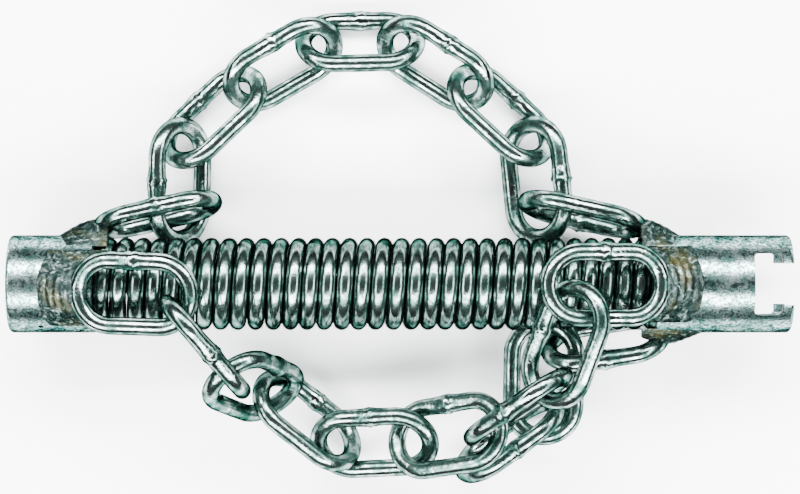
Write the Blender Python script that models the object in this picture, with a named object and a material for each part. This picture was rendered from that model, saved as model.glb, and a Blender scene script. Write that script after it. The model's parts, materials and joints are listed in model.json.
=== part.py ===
"""Chain flail head of a drain-cleaning cable: a spring core between two end tubes, with welded-link chains.

+Z is up and the head lies on its chains, lowest link at z = 0. X runs along the tube axis, with the
slotted coupling at +X. Lengths are written in millimetres and turned into metres where meshes are made.
"""

import math

import bmesh
import bpy
import numpy as np
from mathutils import Matrix, Vector

MM = 0.001

# Chain link: 6 mm nominal wire, butt welded at the middle of one leg
LINK_LENGTH = 43.6
LINK_WIDTH = 27.0
WIRE = 5.8
CROWN_R = (LINK_WIDTH - WIRE) / 2
LEG_HALF = (LINK_LENGTH - LINK_WIDTH) / 2
LINK_SIDES = 8
CROWN_STEPS = 7
BURR_RISE = 0.22

# Core: both tubes and the spring share this axis
AXIS_Y = -12.1
AXIS_Z = 25.5
TUBE_R = 16.0
BORE_R = 12.6
TUBE_CHAMFER = 1.2
LEFT_END, LEFT_FACE = -127.7, -99.7
RIGHT_FACE, RIGHT_END = 83.3, 127.7
TUBE_SIDES = 40
VENT_X, VENT_R, VENT_TURN = -116.8, 0.8, -60.0
GAP = 0.3

# Spring: round wire, close wound, butted between the tube faces
SPRING_WIRE_R = 2.5
SPRING_R = 15.25 - SPRING_WIRE_R
SPRING_PITCH = 5.65
COIL_STEPS = 10
SPRING_SIDES = 6

# Coupling slot, cut through both walls along Z
SLOT_MOUTH_WIDTH = 13.5
SLOT_MOUTH_DEPTH = 3.6
SLOT_POCKET_WIDTH = 20.0
SLOT_POCKET_DEPTH = 9.3

# Welded links: name, x of the welded end, turn round the axis from +Z, lean, side they point to
WELDED = (
    ("front_welded_link_left", -103.7, -7.0, 13.0, 1),
    ("rear_welded_link_left", -98.3, 103.0, 13.0, 1),
    ("front_welded_link_right", 84.3, 0.0, 13.0, -1),
    ("rear_welded_link_right", 78.6, 103.0, 13.0, -1),
    ("lower_welded_link_right", 86.7, 240.0, 10.0, -1),
)
SEAT_R = TUBE_R + WIRE / 2 + GAP

# Rear chain, an arch lying on the ground: the points where each link meets the next, and the roll of
# each link about its own length, positive when the outer leg is the higher one
REAR_ROUTE = (
    (-73.5, 10, 11), (-73, 33, 12.5), (-51.5, 53.5, 11), (-26.5, 68, 11),
    (0, 68.5, 11), (23.5, 53.5, 11), (44, 34.5, 11), (46.5, 9.5, 12.5),
)
REAR_ROLL = (49, -45, 45, -45, 45, -45, 40)

# Front chain, hung from the top of both tubes and sagging to the ground in front
FRONT_ROUTE = (
    (-71, -22, 52), (-54.5, -42, 43.5), (-41, -49, 20), (-20.5, -65.5, 15),
    (3.5, -64, 20.5), (28, -59.5, 32.5), (48.5, -44, 45.5), (57.5, -18.5, 52),
)
FRONT_ROLL = (85, 25, -52, 33, -20, 80, -35)

# Short chain under the right tube
TAIL_ROUTE = (((48, -31, 11.5), (47.5, -57.5, 11), 8), ((47.5, -55.5, 13.5), (25.5, -71.5, 13.5), 71))

# Weld bead: a fillet from the welded end of a link down to its tube
BEAD_HALF_WIDTH = 10.5
BEAD_REACH = 10.5
BEAD_STEPS = 8
BEAD_RISE = 5.2


def clear_scene():
    for obj in list(bpy.data.objects):
        bpy.data.objects.remove(obj, do_unlink=True)
    for mesh in list(bpy.data.meshes):
        bpy.data.meshes.remove(mesh)


def material(name, colour, roughness):
    mat = bpy.data.materials.new(name)
    mat.use_nodes = True
    shader = mat.node_tree.nodes["Principled BSDF"]
    shader.inputs["Base Color"].default_value = (*colour, 1.0)
    shader.inputs["Metallic"].default_value = 1.0
    shader.inputs["Roughness"].default_value = roughness
    return mat


def mesh_from(name, points, faces):
    """A closed mesh in metres from points in millimetres, with its faces turned outward."""
    mesh = bpy.data.meshes.new(name)
    mesh.from_pydata([tuple(c * MM for c in p) for p in points], [], faces)
    bm = bmesh.new()
    bm.from_mesh(mesh)
    bmesh.ops.recalc_face_normals(bm, faces=bm.faces)
    bm.to_mesh(mesh)
    bm.free()
    return mesh


def place(name, mesh, mat, matrix=None, smooth=True):
    """A visible object with its mesh and material, set at matrix."""
    obj = bpy.data.objects.new(name, mesh)
    bpy.context.scene.collection.objects.link(obj)
    if matrix is not None:
        obj.matrix_world = matrix
    if not mesh.materials:
        mesh.materials.append(mat)
    for polygon in mesh.polygons:
        polygon.use_smooth = smooth
    return obj


def sweep(name, stations, sides, closed):
    """A round bar along stations of (centre, radius, side vector, up vector)."""
    points = []
    for centre, radius, side, up in stations:
        for k in range(sides):
            turn = 2 * math.pi * (k + 0.5) / sides
            points.append(centre + radius * (math.cos(turn) * side + math.sin(turn) * up))
    count = len(stations)
    faces = []
    for i in range(count if closed else count - 1):
        j = (i + 1) % count
        for k in range(sides):
            n = (k + 1) % sides
            faces.append((i * sides + k, i * sides + n, j * sides + n, j * sides + k))
    if not closed:
        faces.append(tuple(range(sides)))
        faces.append(tuple((count - 1) * sides + k for k in range(sides)))
    return mesh_from(name, points, faces)


def link_mesh():
    """One link in its own plane: length along X, width along Y, butt weld on the +Y leg."""
    up = np.array((0.0, 0.0, 1.0))
    stations = []

    def add(x, y, outward, radius=WIRE / 2):
        stations.append((np.array((x, y, 0.0)), radius, np.array((*outward, 0.0)), up))

    for end in (1, -1):
        for step in range(CROWN_STEPS + 1):
            turn = math.pi * (step / CROWN_STEPS - 0.5)
            x, y = end * math.cos(turn), end * math.sin(turn)
            add(end * LEG_HALF + CROWN_R * x, CROWN_R * y, (x, y))
        if end == 1:
            for x, rise in ((1.9, 0.0), (0.9, 1.0), (-0.9, 1.0), (-1.9, 0.0)):
                add(x, CROWN_R, (0.0, 1.0), WIRE / 2 + rise * BURR_RISE)
    return sweep("chain_link", stations, LINK_SIDES, True)


def link_between(start, end, roll):
    """Places a link midway between its two meeting points, rolled about the line through them."""
    start, end = Vector(start), Vector(end)
    along = (end - start).normalized()
    level = Vector((0, 0, 1)).cross(along).normalized()
    width = Matrix.Rotation(math.radians(roll), 3, along) @ level
    return frame_matrix((start + end) / 2, along, width)


def frame_matrix(centre, along, width):
    matrix = Matrix((along, width, along.cross(width))).transposed().to_4x4()
    matrix.translation = Vector(centre) * MM
    return matrix


def radial(turn):
    t = math.radians(turn)
    return Vector((0, math.sin(t), math.cos(t)))


def tangent(turn):
    t = math.radians(turn)
    return Vector((0, math.cos(t), -math.sin(t)))


def welded_matrix(end_x, turn, lean, side):
    """A link whose welded crown sits on its tube and whose free end leans away from the spring."""
    lean = math.radians(lean)
    along = Vector((side * math.cos(lean), 0, 0)) + radial(turn) * math.sin(lean)
    tip = Vector((end_x, AXIS_Y, AXIS_Z)) + radial(turn) * SEAT_R
    return frame_matrix(tip + along * (LEG_HALF + CROWN_R), along, tangent(turn))


def lathe(name, profile):
    """A ring turned about the core axis from a closed profile of (x, radius)."""
    points, faces = [], []
    for k in range(TUBE_SIDES):
        turn = 2 * math.pi * k / TUBE_SIDES
        for x, r in profile:
            points.append((x, AXIS_Y + r * math.sin(turn), AXIS_Z + r * math.cos(turn)))
    rows = len(profile)
    for k in range(TUBE_SIDES):
        n = (k + 1) % TUBE_SIDES
        for i in range(rows):
            j = (i + 1) % rows
            faces.append((k * rows + i, k * rows + j, n * rows + j, n * rows + i))
    return mesh_from(name, points, faces)


def cut(obj, name, mesh):
    """Subtracts a hidden cutter from obj."""
    cutter = place(name, mesh, obj.data.materials[0])
    cutter.hide_render = True
    cutter.display_type = "WIRE"
    modifier = obj.modifiers.new(name, "BOOLEAN")
    modifier.operation = "DIFFERENCE"
    modifier.solver = "EXACT"
    modifier.object = cutter


def tubes(mat):
    c = TUBE_CHAMFER
    left = place(
        "end_tube_left",
        lathe("end_tube_left", (
            (LEFT_END, BORE_R + c / 2), (LEFT_END, TUBE_R - c), (LEFT_END + c, TUBE_R),
            (LEFT_FACE, TUBE_R), (LEFT_FACE, BORE_R), (LEFT_END + c / 2, BORE_R),
        )),
        mat,
    )
    out = radial(VENT_TURN)
    side = tangent(VENT_TURN)
    base = Vector((VENT_X, AXIS_Y, AXIS_Z))
    stations = [
        (np.array(base + out * reach), VENT_R, np.array((1.0, 0.0, 0.0)), np.array(side))
        for reach in (BORE_R - 3, TUBE_R + 2)
    ]
    cut(left, "vent_cutter", sweep("vent_cutter", stations, 8, False))

    right = place(
        "coupling_tube_right",
        lathe("coupling_tube_right", (
            (RIGHT_END, BORE_R + c / 2), (RIGHT_END, TUBE_R - c), (RIGHT_END - c, TUBE_R),
            (RIGHT_FACE, TUBE_R), (RIGHT_FACE, BORE_R), (RIGHT_END - c / 2, BORE_R),
        )),
        mat,
    )
    half_mouth, half_pocket = SLOT_MOUTH_WIDTH / 2, SLOT_POCKET_WIDTH / 2
    lip = RIGHT_END - SLOT_MOUTH_DEPTH
    back = lip - SLOT_POCKET_DEPTH
    soft = 1.0
    outline = (
        (RIGHT_END + 2, -half_mouth), (RIGHT_END + 2, half_mouth), (lip, half_mouth),
        (lip, half_pocket - soft), (lip - soft, half_pocket), (back + soft, half_pocket),
        (back, half_pocket - soft), (back, soft - half_pocket), (back + soft, -half_pocket),
        (lip - soft, -half_pocket), (lip, soft - half_pocket), (lip, -half_mouth),
    )
    count = len(outline)
    points = [(x, AXIS_Y + y, AXIS_Z + z) for z in (-20.0, 20.0) for x, y in outline]
    faces = [tuple(range(count)), tuple(range(2 * count - 1, count - 1, -1))]
    faces += [(i, (i + 1) % count, (i + 1) % count + count, i + count) for i in range(count)]
    cut(right, "slot_cutter", mesh_from("slot_cutter", points, faces))


def spring(mat):
    start = LEFT_FACE + GAP + SPRING_WIRE_R
    end = RIGHT_FACE - GAP - SPRING_WIRE_R
    turns = (end - start) / SPRING_PITCH
    steps = round(turns * COIL_STEPS)
    stations = []
    for i in range(steps + 1):
        angle = 2 * math.pi * turns * i / steps
        out = np.array((0.0, math.sin(angle), math.cos(angle)))
        centre = np.array((start + (end - start) * i / steps, AXIS_Y, AXIS_Z)) + SPRING_R * out
        stations.append((centre, SPRING_WIRE_R, np.array((1.0, 0.0, 0.0)), out))
    place("spring_core", sweep("spring_core", stations, SPRING_SIDES, False), mat)


def weld_bead(name, end_x, turn, lean, side, mat):
    """The fillet outside a welded crown, with a lumpy back like a hand-laid bead."""
    crown_x = end_x + side * CROWN_R * math.cos(math.radians(lean))
    edge = CROWN_R + WIRE / 2 + GAP
    face_x = LEFT_FACE if side > 0 else RIGHT_FACE
    seat = TUBE_R + GAP
    out, across = radial(turn), tangent(turn)
    points, faces = [], []
    for i in range(BEAD_STEPS + 1):
        share = 2 * i / BEAD_STEPS - 1
        v = share * BEAD_HALF_WIDTH
        ground = math.sqrt(seat ** 2 - v ** 2)
        begin = crown_x - side * math.sqrt(edge ** 2 - v ** 2)
        begin = min(begin, face_x - GAP) if side > 0 else max(begin, face_x + GAP)
        swell = 1 + 0.10 * math.sin(5.1 * i + end_x)
        rise = BEAD_RISE * (1 - 0.7 * share ** 2) * swell
        length = math.sqrt((edge + BEAD_REACH) ** 2 - v ** 2) - abs(begin - crown_x)
        section = (
            (0.0, 0.0), (0.0, rise), (0.3, 0.86 * rise), (0.65, 0.45 * rise), (1.0, 0.5), (1.0, 0.0),
        )
        for reach, height in section:
            spot = Vector((begin - side * reach * length, AXIS_Y, AXIS_Z))
            points.append(spot + out * (ground + height) + across * v)
    rows = 6
    for i in range(BEAD_STEPS):
        for k in range(rows):
            n = (k + 1) % rows
            faces.append((i * rows + k, i * rows + n, (i + 1) * rows + n, (i + 1) * rows + k))
    faces.append(tuple(range(rows)))
    faces.append(tuple(BEAD_STEPS * rows + k for k in range(rows)))
    place(name, mesh_from(name, points, faces), mat)


def main():
    clear_scene()
    wire = material("zinc_wire", (0.72, 0.75, 0.74), 0.22)
    tube = material("zinc_tube", (0.60, 0.65, 0.64), 0.42)
    coil = material("zinc_spring", (0.55, 0.60, 0.58), 0.30)
    bead = material("weld_metal", (0.34, 0.37, 0.34), 0.60)

    tubes(tube)
    spring(coil)
    link = link_mesh()
    for name, end_x, turn, lean, side in WELDED:
        place(name, link, wire, welded_matrix(end_x, turn, lean, side))
        weld_bead(name.replace("link", "bead"), end_x, turn, lean, side, bead)
    for chain, route, rolls in (("rear", REAR_ROUTE, REAR_ROLL), ("front", FRONT_ROUTE, FRONT_ROLL)):
        for k, roll in enumerate(rolls):
            place(f"{chain}_link_{k + 2}", link, wire, link_between(route[k], route[k + 1], roll))
    for k, (start, end, roll) in enumerate(TAIL_ROUTE):
        place(f"tail_link_{k + 2}", link, wire, link_between(start, end, roll))


main()
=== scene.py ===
"""Looks of the chain flail head: round wire links with butt-weld flash, a wound spring, galvanised tubes
and lumpy weld beads, lit on a white table. Lengths are in millimetres, and become metres when a mesh is
made. Lights are placed in metres.
"""

import json
import math

import bmesh
import bpy
from mathutils import Matrix, Vector, noise

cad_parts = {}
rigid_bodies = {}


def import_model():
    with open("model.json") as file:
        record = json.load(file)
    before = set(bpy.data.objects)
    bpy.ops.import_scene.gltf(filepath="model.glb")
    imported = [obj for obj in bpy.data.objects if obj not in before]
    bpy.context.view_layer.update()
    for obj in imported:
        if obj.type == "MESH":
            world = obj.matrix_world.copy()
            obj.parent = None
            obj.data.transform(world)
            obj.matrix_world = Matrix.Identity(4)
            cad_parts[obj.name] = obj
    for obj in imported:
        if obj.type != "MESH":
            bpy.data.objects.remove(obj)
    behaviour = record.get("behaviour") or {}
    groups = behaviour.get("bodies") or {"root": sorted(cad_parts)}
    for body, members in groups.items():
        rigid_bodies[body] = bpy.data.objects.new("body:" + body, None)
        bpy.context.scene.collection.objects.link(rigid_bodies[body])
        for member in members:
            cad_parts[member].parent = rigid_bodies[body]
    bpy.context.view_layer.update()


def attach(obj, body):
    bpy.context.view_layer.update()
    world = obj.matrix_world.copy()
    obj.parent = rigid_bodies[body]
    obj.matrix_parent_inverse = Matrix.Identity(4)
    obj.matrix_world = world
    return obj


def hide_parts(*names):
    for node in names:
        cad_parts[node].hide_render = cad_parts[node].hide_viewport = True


MM = 0.001

# Chain link
LINK_LENGTH = 43.6
LINK_WIDTH = 27.0
WIRE = 5.8
CROWN_R = (LINK_WIDTH - WIRE) / 2
LEG_HALF = (LINK_LENGTH - LINK_WIDTH) / 2
WIRE_SIDES = 24
CROWN_STEPS = 26  # stations round each half circle
LEG_STEPS = 34
FLASH_REACH = 3.6
FLASH_RISE = 0.55

# Core
AXIS_Y = -12.1
AXIS_Z = 25.5
TUBE_R = 16.0
BORE_R = 12.6
EDGE_R = 1.3
LEFT_END, LEFT_FACE = -127.7, -99.7
RIGHT_FACE, RIGHT_END = 83.3, 127.7
TUBE_SIDES = 128
TUBE_BEVEL = 0.35
VENT_X, VENT_R, VENT_TURN = -116.8, 0.9, -60.0
SPRING_WIRE_R = 2.81
SPRING_R = 15.25 - SPRING_WIRE_R
SPRING_PITCH = 5.65
STEPS_PER_TURN = 36
SPRING_SIDES = 16
SLOT_MOUTH_WIDTH = 13.5
SLOT_MOUTH_DEPTH = 3.6
SLOT_POCKET_WIDTH = 20.0
SLOT_POCKET_DEPTH = 9.3
SLOT_CORNER_R = 1.4
GAP = 0.3
SEAT_R = TUBE_R + WIRE / 2 + GAP

# Welded links: name, x of the welded end, turn round the axis from +Z, lean, side they point to
WELDED = (
    ("front_welded_link_left", -103.7, -7.0, 13.0, 1),
    ("rear_welded_link_left", -98.3, 103.0, 13.0, 1),
    ("front_welded_link_right", 84.3, 0.0, 13.0, -1),
    ("rear_welded_link_right", 78.6, 103.0, 13.0, -1),
    ("lower_welded_link_right", 86.7, 240.0, 10.0, -1),
)

# Chain routes, as in part.py: the points where each link meets the next, and each link's roll. They were
# set, moved by a search for clearance between links, and rounded.
REAR_ROUTE = (
    (-73.5, 10, 11), (-73, 33, 12.5), (-51.5, 53.5, 11), (-26.5, 68, 11),
    (0, 68.5, 11), (23.5, 53.5, 11), (44, 34.5, 11), (46.5, 9.5, 12.5),
)
REAR_ROLL = (49, -45, 45, -45, 45, -45, 40)
FRONT_ROUTE = (
    (-71, -22, 52), (-54.5, -42, 43.5), (-41, -49, 20), (-20.5, -65.5, 15),
    (3.5, -64, 20.5), (28, -59.5, 32.5), (48.5, -44, 45.5), (57.5, -18.5, 52),
)
FRONT_ROLL = (85, 25, -52, 33, -20, 80, -35)
TAIL_ROUTE = (((48, -31, 11.5), (47.5, -57.5, 11), 8), ((47.5, -55.5, 13.5), (25.5, -71.5, 13.5), 71))

# Weld beads
BEAD_HALF_WIDTH = 12.4
BEAD_REACH = 10.5
BEAD_RISE = 5.6
BEAD_OVERHANG = 4.5

# Stage
TABLE_HALF = 330
BACKDROP_GLOW = 13.0
CAMERA_DROP = 1000.0  # straight above the axis
FRAMED_WIDTH = 262.4  # across the picture, at the height of the axis
SENSOR_WIDTH = 36.0

# Reflected colour of the metals near their edges
EDGE_TINT = (0.02, 0.04, 0.035)


def new_mesh(name, points, faces, smooth=True):
    """A mesh in metres from points in millimetres, faces turned outward."""
    mesh = bpy.data.meshes.new(name)
    mesh.from_pydata([tuple(c * MM for c in p) for p in points], [], faces)
    bm = bmesh.new()
    bm.from_mesh(mesh)
    bmesh.ops.recalc_face_normals(bm, faces=bm.faces)
    bm.to_mesh(mesh)
    bm.free()
    for polygon in mesh.polygons:
        polygon.use_smooth = smooth
    return mesh


def add(name, mesh, mat=None):
    obj = bpy.data.objects.new(name, mesh)
    bpy.context.scene.collection.objects.link(obj)
    if mat:
        mesh.materials.append(mat)
    return obj


def dress(obj, node, body):
    """obj is the visible form of a CAD node, and moves with its body."""
    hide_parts(node)
    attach(obj, body)


def wander(point, scale, seed):
    """Smooth noise from -1 to 1 at a point in millimetres, with features about `scale` across."""
    return noise.noise(Vector(point) / scale + Vector((seed * 7.3, seed * 3.1, seed * 1.7)))


def radial(turn):
    t = math.radians(turn)
    return Vector((0, math.sin(t), math.cos(t)))


def tangent(turn):
    t = math.radians(turn)
    return Vector((0, math.cos(t), -math.sin(t)))


def frame_matrix(centre, along, width):
    matrix = Matrix((along, width, along.cross(width))).transposed().to_4x4()
    matrix.translation = Vector(centre)
    return matrix


def link_between(start, end, roll):
    start, end = Vector(start), Vector(end)
    along = (end - start).normalized()
    level = Vector((0, 0, 1)).cross(along).normalized()
    width = Matrix.Rotation(math.radians(roll), 3, along) @ level
    return frame_matrix((start + end) / 2, along, width)


def welded_matrix(end_x, turn, lean, side):
    lean = math.radians(lean)
    along = Vector((side * math.cos(lean), 0, 0)) + radial(turn) * math.sin(lean)
    tip = Vector((end_x, AXIS_Y, AXIS_Z)) + radial(turn) * SEAT_R
    return frame_matrix(tip + along * (LEG_HALF + CROWN_R), along, tangent(turn))


# ---------------------------------------------------------------- materials


class Shader:
    """A Principled material, metal unless told otherwise, with short-hands for procedural detail."""

    def __init__(self, name, roughness, metallic=1.0):
        self.mat = bpy.data.materials.new(name)
        self.mat.use_nodes = True
        self.nodes = self.mat.node_tree.nodes
        self.links = self.mat.node_tree.links
        self.main = self.nodes["Principled BSDF"]
        self.main.inputs["Metallic"].default_value = metallic
        self.main.inputs["Roughness"].default_value = roughness
        self.main.inputs["Specular Tint"].default_value = (*EDGE_TINT, 1.0)
        self.coords = self.nodes.new("ShaderNodeTexCoord")

    def noise(self, scale, detail=4.0, rough=0.6, warp=0.0):
        node = self.nodes.new("ShaderNodeTexNoise")
        node.inputs["Scale"].default_value = scale
        node.inputs["Detail"].default_value = detail
        node.inputs["Roughness"].default_value = rough
        node.inputs["Distortion"].default_value = warp
        self.links.new(self.coords.outputs["Object"], node.inputs["Vector"])
        return node.outputs["Fac"]

    def ramp(self, source, stops):
        node = self.nodes.new("ShaderNodeValToRGB")
        node.color_ramp.elements[0].position = stops[0][0]
        node.color_ramp.elements[0].color = (*stops[0][1], 1)
        node.color_ramp.elements[1].position = stops[-1][0]
        node.color_ramp.elements[1].color = (*stops[-1][1], 1)
        for position, colour in stops[1:-1]:
            node.color_ramp.elements.new(position).color = (*colour, 1)
        self.links.new(source, node.inputs["Fac"])
        return node.outputs["Color"]

    def spread(self, source, low, high, start=0.3, stop=0.7):
        node = self.nodes.new("ShaderNodeMapRange")
        node.inputs["From Min"].default_value = start
        node.inputs["From Max"].default_value = stop
        node.inputs["To Min"].default_value = low
        node.inputs["To Max"].default_value = high
        self.links.new(source, node.inputs["Value"])
        return node.outputs["Result"]

    def blend(self, factor, a, b, kind="MIX"):
        node = self.nodes.new("ShaderNodeMix")
        node.data_type = "RGBA"
        node.blend_type = kind
        for socket, value in (("Factor", factor), ("A", a), ("B", b)):
            target = [s for s in node.inputs if s.name == socket and s.type in ("RGBA", "VALUE")]
            target = target[0] if socket == "Factor" else target[-1]
            if isinstance(value, bpy.types.NodeSocket):
                self.links.new(value, target)
            else:
                target.default_value = value
        return [s for s in node.outputs if s.type == "RGBA"][0]

    def bump(self, source, depth, previous=None):
        node = self.nodes.new("ShaderNodeBump")
        node.inputs["Strength"].default_value = 1.0
        node.inputs["Distance"].default_value = depth * MM
        self.links.new(source, node.inputs["Height"])
        if previous:
            self.links.new(previous, node.inputs["Normal"])
        return node.outputs["Normal"]

    def finish(self, colour=None, roughness=None, normal=None):
        for socket, value in (("Base Color", colour), ("Roughness", roughness), ("Normal", normal)):
            if value:
                self.links.new(value, self.main.inputs[socket])
        return self.mat


def zinc_wire():
    """Bright zinc plate on drawn wire: mirror-like, with dull blotches and a fine drawn grain."""
    s = Shader("zinc_wire", 0.16)
    blotch = s.noise(190, 5, 0.62, 0.6)
    fine = s.noise(1500, 3, 0.6)
    dark, middle, bright = (0.03, 0.07, 0.06), (0.10, 0.16, 0.145), (0.30, 0.38, 0.36)
    colour = s.ramp(blotch, ((0.38, dark), (0.5, middle), (0.62, bright)))
    rough = s.spread(blotch, 0.30, 0.10)
    normal = s.bump(fine, 0.030)
    normal = s.bump(s.noise(420, 3, 0.55, 0.8), 0.11, normal)
    return s.finish(colour, rough, normal)


def zinc_spring():
    """Spring wire: darker, cleaner and smoother than the links."""
    s = Shader("zinc_spring", 0.2)
    blotch = s.noise(260, 4, 0.6, 0.4)
    colour = s.ramp(blotch, ((0.38, (0.035, 0.07, 0.06)), (0.62, (0.19, 0.26, 0.245))))
    normal = s.bump(s.noise(900, 4, 0.6), 0.04)
    return s.finish(colour, s.spread(blotch, 0.28, 0.13), normal)


def zinc_tube():
    """Mottled zinc on a turned tube, frosted in small grains."""
    s = Shader("zinc_tube", 0.36)
    grain = s.noise(1000, 5, 0.7)
    patch = s.noise(150, 5, 0.65, 1.0)
    dark, middle, bright = (0.08, 0.16, 0.15), (0.20, 0.30, 0.29), (0.42, 0.53, 0.52)
    base = s.ramp(patch, ((0.36, dark), (0.5, middle), (0.64, bright)))
    speck = s.ramp(grain, ((0.45, (0.06, 0.12, 0.11)), (0.55, (1.0, 1.0, 1.0))))
    colour = s.blend(0.8, base, speck, "MULTIPLY")
    normal = s.bump(grain, 0.05)
    normal = s.bump(s.noise(330, 4, 0.6, 0.5), 0.07, normal)
    return s.finish(colour, s.spread(grain, 0.36, 0.16, 0.42, 0.58), normal)


def weld_metal():
    """Rough weld metal under thin zinc: dark hollows, bright crests, some yellow-brown heat tint."""
    s = Shader("weld_metal", 0.4)
    lumps = s.noise(420, 6, 0.7, 1.2)
    hollow, middle, crest = (0.008, 0.015, 0.015), (0.04, 0.06, 0.055), (0.34, 0.42, 0.40)
    colour = s.ramp(lumps, ((0.42, hollow), (0.56, middle), (0.70, crest)))
    tint = s.spread(s.noise(90, 3, 0.5), 0.0, 0.55, 0.5, 0.72)
    colour = s.blend(tint, colour, (0.09, 0.075, 0.025, 1.0))
    normal = s.bump(lumps, 0.45)
    return s.finish(colour, s.spread(lumps, 0.55, 0.22), normal)


# ---------------------------------------------------------------- pieces


def ring_faces(count, sides, closed):
    faces = []
    for i in range(count if closed else count - 1):
        j = (i + 1) % count
        for k in range(sides):
            n = (k + 1) % sides
            faces.append((i * sides + k, i * sides + n, j * sides + n, j * sides + k))
    return faces


def link_stations(flash_leg):
    """Centre, outward direction and distance from the butt weld at each station round a link."""
    stations = []
    for end in (1, -1):
        for step in range(CROWN_STEPS):
            turn = math.pi * (step / CROWN_STEPS - 0.5)
            x, y = end * math.cos(turn), end * math.sin(turn)
            stations.append((end * LEG_HALF + CROWN_R * x, CROWN_R * y, x, y, None))
        for step in range(LEG_STEPS):
            x = end * (LEG_HALF - 2 * LEG_HALF * step / LEG_STEPS)
            stations.append((x, end * CROWN_R, 0.0, end, x if end == flash_leg else None))
    return stations


def link_piece(node, matrix, body, mat, seed, flash_leg=1):
    """A forged round-wire link: slightly uneven wire, with the flash of its butt weld on one leg."""
    points = []
    stations = link_stations(flash_leg)
    turn_matrix = matrix.to_3x3()
    for x, y, out_x, out_y, reach in stations:
        for k in range(WIRE_SIDES):
            turn = 2 * math.pi * (k + 0.5) / WIRE_SIDES
            outward = Vector((math.cos(turn) * out_x, math.cos(turn) * out_y, math.sin(turn)))
            spot = Vector((x, y, 0))
            radius = WIRE / 2 + 0.07 * wander(spot + outward * 3, 5.5, seed)
            if reach is not None and abs(reach) < 2 * FLASH_REACH:
                share = reach / FLASH_REACH
                ragged = wander(spot * 1.6 + outward * 3, 1.5, seed + 9)
                ridge = math.exp(-share * share * 1.6) + 0.5 * math.exp(-((reach - 0.8) ** 2) * 2.5)
                radius += FLASH_RISE * ridge * (0.62 + 0.75 * ragged)
            points.append(matrix.translation + turn_matrix @ (spot + outward * radius))
    mesh = new_mesh(node + "_look", points, ring_faces(len(stations), WIRE_SIDES, True))
    dress(add(node + "_look", mesh, mat), node, body)


def spring_piece(mat):
    """The whole helix, slightly uneven in pitch, with one more turn seated in each tube end."""
    start = LEFT_FACE + SPRING_PITCH / 2
    end = RIGHT_FACE - SPRING_PITCH / 2
    turns = (end - start) / SPRING_PITCH
    steps, sides = round(turns * STEPS_PER_TURN), SPRING_SIDES
    seated = STEPS_PER_TURN
    points = []
    for i in range(-seated, steps + seated + 1):
        angle = 2 * math.pi * turns * i / steps
        out = Vector((0.0, math.sin(angle), math.cos(angle)))
        centre = Vector((start + (end - start) * i / steps, AXIS_Y, AXIS_Z)) + SPRING_R * out
        centre.x += 0.12 * math.sin(i * 0.021) + 0.08 * math.sin(i * 0.13)
        for k in range(sides):
            turn = 2 * math.pi * (k + 0.5) / sides
            spoke = math.cos(turn) * Vector((1, 0, 0)) + math.sin(turn) * out
            points.append(centre + SPRING_WIRE_R * spoke)
    count = steps + 2 * seated + 1
    faces = ring_faces(count, sides, False)
    faces += [tuple(range(sides)), tuple((count - 1) * sides + k for k in range(sides))]
    mesh = new_mesh("spring_core_look", points, faces)
    dress(add("spring_core_look", mesh, mat), "spring_core", "core")


def tube_points(end_x, face_x):
    """Profile of a tube from its rounded free end to the face at the spring."""
    inward = 1 if face_x > end_x else -1
    rounded = []
    for step in range(7):
        turn = math.pi / 2 * step / 6
        x = end_x + inward * EDGE_R * (1 - math.cos(turn))
        rounded.append((x, TUBE_R - EDGE_R * (1 - math.sin(turn))))
    span = face_x - end_x
    barrel = [(end_x + span * s, TUBE_R) for s in (0.1, 0.2, 0.3, 0.4, 0.5, 0.6, 0.7, 0.8, 0.9)]
    close = [(face_x - inward * 0.4, TUBE_R), (face_x, TUBE_R - 0.4), (face_x, BORE_R)]
    back = [(end_x + span * s, BORE_R) for s in (0.75, 0.5, 0.25)]
    mouth = [(end_x + inward * 0.7, BORE_R), (end_x, BORE_R + 0.7)]
    return rounded + barrel + close + back + mouth


def tube_piece(name, end_x, face_x, mat, cutters):
    """A turned tube with the cutters taken out and its cut edges eased. The cutters are then removed."""
    profile = tube_points(end_x, face_x)
    rows = len(profile)
    points = []
    for k in range(TUBE_SIDES):
        turn = 2 * math.pi * k / TUBE_SIDES
        for x, r in profile:
            points.append((x, AXIS_Y + r * math.sin(turn), AXIS_Z + r * math.cos(turn)))
    obj = add(name, new_mesh(name, points, ring_faces(TUBE_SIDES, rows, True)), mat)
    for cutter in cutters:
        modifier = obj.modifiers.new(cutter.name, "BOOLEAN")
        modifier.operation = "DIFFERENCE"
        modifier.solver = "EXACT"
        modifier.object = cutter
    bevel = obj.modifiers.new("edges", "BEVEL")
    bevel.width = TUBE_BEVEL * MM
    bevel.segments = 3
    bevel.limit_method = "ANGLE"
    bevel.angle_limit = math.radians(50)
    bpy.context.view_layer.update()
    made = bpy.data.meshes.new_from_object(obj.evaluated_get(bpy.context.evaluated_depsgraph_get()))
    for polygon in made.polygons:
        polygon.use_smooth = True
    made.set_sharp_from_angle(angle=math.radians(32))
    obj.modifiers.clear()
    obj.data = made
    for cutter in cutters:
        bpy.data.objects.remove(cutter)
    return obj


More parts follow.
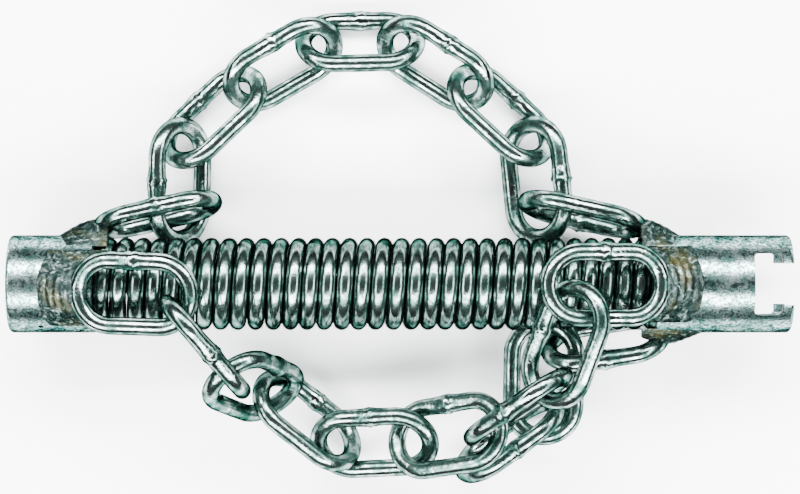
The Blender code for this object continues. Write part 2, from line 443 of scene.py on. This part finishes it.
def slot_cutter():
    """The coupling's T slot in plan, with round pocket corners, as a tall prism."""
    half_mouth, half_pocket = SLOT_MOUTH_WIDTH / 2, SLOT_POCKET_WIDTH / 2
    lip = RIGHT_END - SLOT_MOUTH_DEPTH
    back = lip - SLOT_POCKET_DEPTH
    soft = SLOT_CORNER_R
    half = [(RIGHT_END + 3, half_mouth), (lip, half_mouth)]
    for cx, start in ((lip - soft, 0), (back + soft, 90)):
        for step in range(6):
            turn = math.radians(start + 18 * step)
            half.append((cx + soft * math.cos(turn), half_pocket - soft + soft * math.sin(turn)))
    outline = half + [(x, -y) for x, y in reversed(half)]
    count = len(outline)
    points = [(x, AXIS_Y + y, AXIS_Z + z) for z in (-22.0, 22.0) for x, y in outline]
    faces = [tuple(range(count)), tuple(range(count, 2 * count))]
    faces += [(i, (i + 1) % count, (i + 1) % count + count, i + count) for i in range(count)]
    return add("slot_cutter", new_mesh("slot_cutter", points, faces, False))


def vent_cutter():
    """The small round vent through the left tube's wall, as a short prism."""
    out, side = radial(VENT_TURN), tangent(VENT_TURN)
    base = Vector((VENT_X, AXIS_Y, AXIS_Z))
    sides = 20
    points = []
    for reach in (BORE_R - 3, TUBE_R + 3):
        for k in range(sides):
            turn = 2 * math.pi * k / sides
            spoke = math.cos(turn) * Vector((1, 0, 0)) + math.sin(turn) * side
            points.append(base + out * reach + VENT_R * spoke)
    faces = ring_faces(2, sides, False) + [tuple(range(sides)), tuple(range(sides, 2 * sides))]
    return add("vent_cutter", new_mesh("vent_cutter", points, faces, False))


def bead_piece(name, end_x, turn, lean, side, mat, seed, rough):
    """A mound of weld metal that rises over the tube to the wire of a welded crown, rippled in crescents.

    u runs across the mound from -1 to 1 and v is the same in millimetres; s runs along it from 0 to 1 and a
    is the distance from the crown's centre.
    """
    crown_x = end_x + side * CROWN_R * math.cos(math.radians(lean))
    face_x = LEFT_FACE if side > 0 else RIGHT_FACE
    out, across = radial(turn), tangent(turn)
    inner, outer = CROWN_R, CROWN_R + WIRE / 2 + BEAD_REACH
    wide, deep = 44, 34
    top, under = [], []
    for i in range(wide + 1):
        u = 2 * i / wide - 1
        v = u * BEAD_HALF_WIDTH
        crown_edge = math.sqrt(max(inner ** 2 - v ** 2, 0.0))
        begin = max(crown_edge, side * (crown_x - face_x) - BEAD_OVERHANG)
        reach = math.sqrt(outer ** 2 - v ** 2) * (1 + 0.03 * wander((v, 0, end_x), 4.0, seed))
        ground = math.sqrt(TUBE_R ** 2 - v ** 2)
        for j in range(deep + 1):
            s = j / deep
            a = begin + (reach - begin) * s
            x = crown_x - side * a
            beyond = (math.hypot(a, v) - CROWN_R - WIRE / 2) / BEAD_REACH
            slope = 1 - min(1.0, max(0.0, beyond, (s - 0.2) / 0.8))
            mound = 0.5 * slope + 0.5 * math.sin(slope * math.pi / 2)
            rise = BEAD_RISE * max(0.0, 1 - u * u) ** 0.8 * mound
            fade = math.sin(math.pi * min(1.0, s * 1.02)) * max(0.0, 1 - u * u) ** 0.5
            ripple = math.sin(math.hypot(a, v) * 2.6 + 0.8 * wander((a, v, 0), 5.0, seed))
            lumps = 0.4 * wander((a, v, end_x), 2.8, seed) + 0.12 * wander((a, v, end_x), 1.1, seed)
            rise += fade * rough * 0.34 * ripple
            rise += fade * rough * lumps
            spot = Vector((x, AXIS_Y, AXIS_Z))
            top.append(spot + out * (ground + rise) + across * v)
            under.append(spot + out * (ground - 0.5) + across * v)
    row, count = deep + 1, len(top)
    faces = []
    for i in range(wide):
        for j in range(deep):
            quad = (i * row + j, i * row + j + 1, (i + 1) * row + j + 1, (i + 1) * row + j)
            faces += [quad, tuple(k + count for k in quad)]
    rim = list(range(row)) + [i * row + deep for i in range(1, wide + 1)]
    rim += [wide * row + j for j in range(deep - 1, -1, -1)] + [i * row for i in range(wide - 1, 0, -1)]
    for a, b in zip(rim, rim[1:] + rim[:1]):
        faces.append((a, b, b + count, a + count))
    mesh = new_mesh(name + "_look", top + under, faces)
    dress(add(name + "_look", mesh, mat), name, "core")


# ---------------------------------------------------------------- stage


def area_light(name, place, size, power, colour=(1.0, 1.0, 1.0)):
    """A rectangular light aimed at the origin. Place and size are in metres."""
    light = bpy.data.lights.new(name, "AREA")
    light.shape = "RECTANGLE"
    light.size, light.size_y = size
    light.energy = power
    light.color = colour
    obj = bpy.data.objects.new(name, light)
    obj.location = place
    obj.rotation_euler = (-Vector(place)).to_track_quat("-Z", "Y").to_euler()
    bpy.context.scene.collection.objects.link(obj)


def stage_and_camera():
    """A white table under two long strip lights and two small ones, seen from straight above."""
    floor_shader = Shader("table_white", 0.8, 0.0)
    floor_shader.main.inputs["Base Color"].default_value = (0.97, 0.97, 0.97, 1.0)
    half = TABLE_HALF
    corners = [(-half, -half, 0), (half, -half, 0), (half, half, 0), (-half, half, 0)]
    floor = add("table", new_mesh("table", corners, [(0, 1, 2, 3)]), floor_shader.mat)

    # A dark room for the metal to mirror, behind a pale backdrop that only the camera sees
    world = bpy.data.worlds.new("studio")
    bpy.context.scene.world = world
    world.use_nodes = True
    nodes, links = world.node_tree.nodes, world.node_tree.links
    room = nodes["Background"]
    room.inputs["Color"].default_value = (0.006, 0.013, 0.012, 1.0)
    backdrop = nodes.new("ShaderNodeBackground")
    backdrop.inputs["Strength"].default_value = BACKDROP_GLOW
    path = nodes.new("ShaderNodeLightPath")
    mix = nodes.new("ShaderNodeMixShader")
    links.new(path.outputs["Is Camera Ray"], mix.inputs["Fac"])
    links.new(room.outputs["Background"], mix.inputs[1])
    links.new(backdrop.outputs["Background"], mix.inputs[2])
    links.new(mix.outputs["Shader"], nodes["World Output"].inputs["Surface"])

    area_light("rear_strip", (0.0, 0.62, 0.80), (1.7, 0.34), 84)
    area_light("front_strip", (0.0, -0.62, 0.80), (1.7, 0.34), 84)
    area_light("left_strip", (-0.85, 0.0, 0.75), (0.9, 0.14), 12, (0.93, 1.0, 0.98))
    area_light("right_strip", (0.85, 0.0, 0.75), (0.9, 0.14), 12, (0.93, 1.0, 0.98))

    camera = bpy.data.cameras.new("camera")
    camera.sensor_width = SENSOR_WIDTH
    camera.lens = SENSOR_WIDTH * CAMERA_DROP / FRAMED_WIDTH
    obj = bpy.data.objects.new("camera", camera)
    obj.location = (0.0, 0.0, (CAMERA_DROP + AXIS_Z) * MM)
    bpy.context.scene.collection.objects.link(obj)
    bpy.context.scene.camera = obj


def main():
    for obj in list(bpy.data.objects):
        bpy.data.objects.remove(obj, do_unlink=True)
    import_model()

    wire, coil, tube, weld = zinc_wire(), zinc_spring(), zinc_tube(), weld_metal()
    seed = 1
    for name, end_x, turn, lean, side in WELDED:
        # This link's flash is on the other leg, where the loose link beside it has room to swing
        flash_leg = -1 if name == "rear_welded_link_left" else 1
        link_piece(name, welded_matrix(end_x, turn, lean, side), "core", wire, seed, flash_leg)
        rough = 1.0 if name.startswith("front") else 0.45
        bead_piece(name.replace("link", "bead"), end_x, turn, lean, side, weld, seed, rough)
        seed += 1
    for chain, route, rolls in (("rear", REAR_ROUTE, REAR_ROLL), ("front", FRONT_ROUTE, FRONT_ROLL)):
        for k, roll in enumerate(rolls):
            node = f"{chain}_link_{k + 2}"
            link_piece(node, link_between(route[k], route[k + 1], roll), node, wire, seed)
            seed += 1
    for k, (start, end, roll) in enumerate(TAIL_ROUTE):
        node = f"tail_link_{k + 2}"
        link_piece(node, link_between(start, end, roll), node, wire, seed)
        seed += 1

    spring_piece(coil)
    left = tube_piece("end_tube_left_look", LEFT_END, LEFT_FACE, tube, [vent_cutter()])
    dress(left, "end_tube_left", "core")
    right = tube_piece("coupling_tube_right_look", RIGHT_END, RIGHT_FACE, tube, [slot_cutter()])
    dress(right, "coupling_tube_right", "core")

    stage_and_camera()


main()
